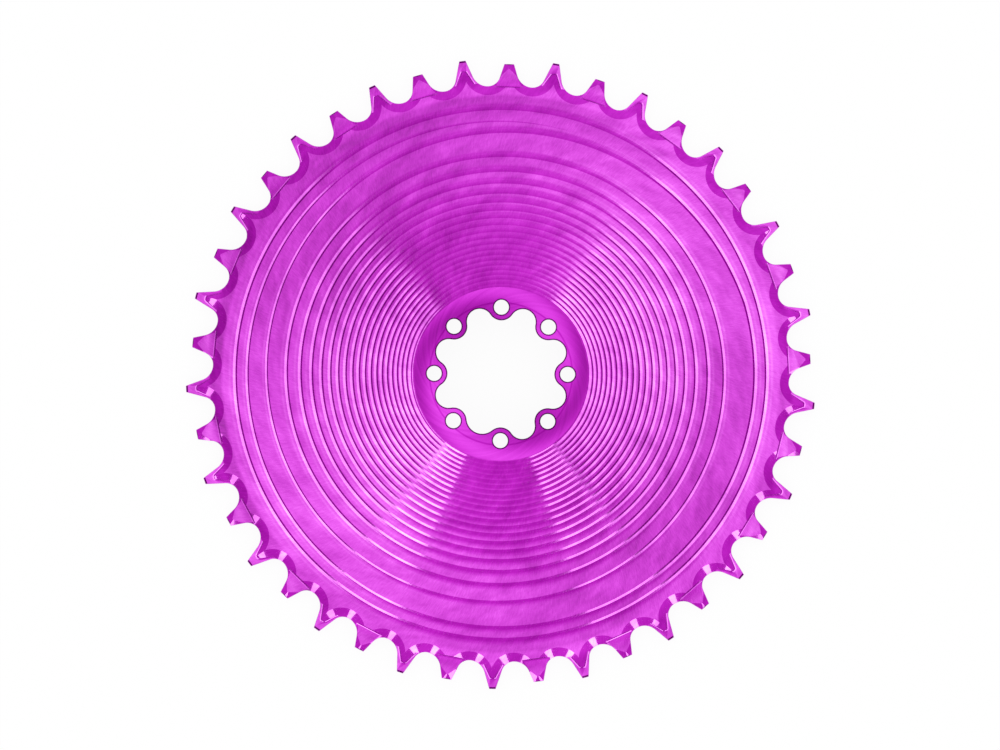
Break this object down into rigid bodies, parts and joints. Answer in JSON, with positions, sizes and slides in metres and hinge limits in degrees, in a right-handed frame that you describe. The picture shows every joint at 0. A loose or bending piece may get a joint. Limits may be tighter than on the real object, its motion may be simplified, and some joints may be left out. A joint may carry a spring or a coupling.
{
  "type": "bicycle chainring",
  "caption": "Dished one-piece direct-mount chainring in bright purple anodised aluminium, with alternating wide and narrow teeth and a spiral of fine machined terraces",
  "frame": {"origin": "centre of the bolt circle, on the face that meets the crank", "axes": "+Z is the ring's axis and points away from the bicycle, and +X runs through a bolt hole"},
  "size_m": [0.177, 0.1768, 0.0107],
  "materials": {
    "anodised": "satin"
  },
  "bodies": {
    "root": {"chainring": "anodised"}
  },
  "joints": []
}
